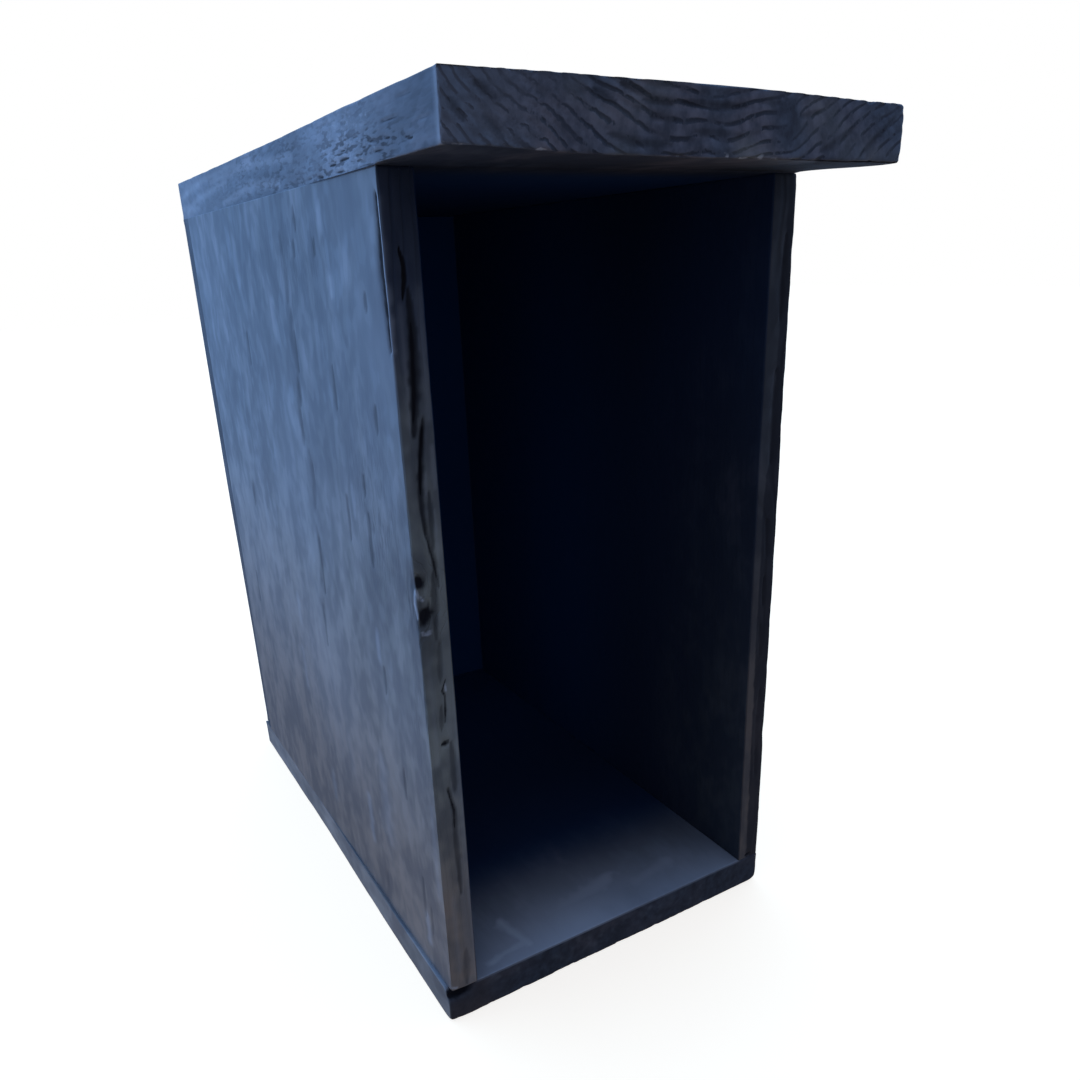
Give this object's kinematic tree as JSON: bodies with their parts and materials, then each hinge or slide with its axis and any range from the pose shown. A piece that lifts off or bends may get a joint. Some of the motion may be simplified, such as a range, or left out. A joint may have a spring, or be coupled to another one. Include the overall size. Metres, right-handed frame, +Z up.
{
  "type": "bee hotel",
  "caption": "Tall open-fronted box of blackened rough-sawn boards with a deep cavity for nesting tubes and a thick roof board that overhangs the front.",
  "frame": {"origin": "bottom centre of the bounding box, on the ground under the base board", "axes": "+X to the right seen from the open front, +Y to the rear, +Z up"},
  "size_m": [0.1666, 0.326, 0.3325],
  "materials": {
    "blackened_wood": "rough-sawn softwood, blackened, matt to satin",
    "black_screw": "black phosphate coating, satin"
  },
  "bodies": {
    "root": {"base_board": "blackened_wood", "left_side": "blackened_wood", "right_side": "blackened_wood", "back_panel": "blackened_wood", "roof_board": "blackened_wood", "base_screws": "black_screw", "back_screws": "black_screw", "roof_screws": "black_screw"}
  },
  "joints": []
}
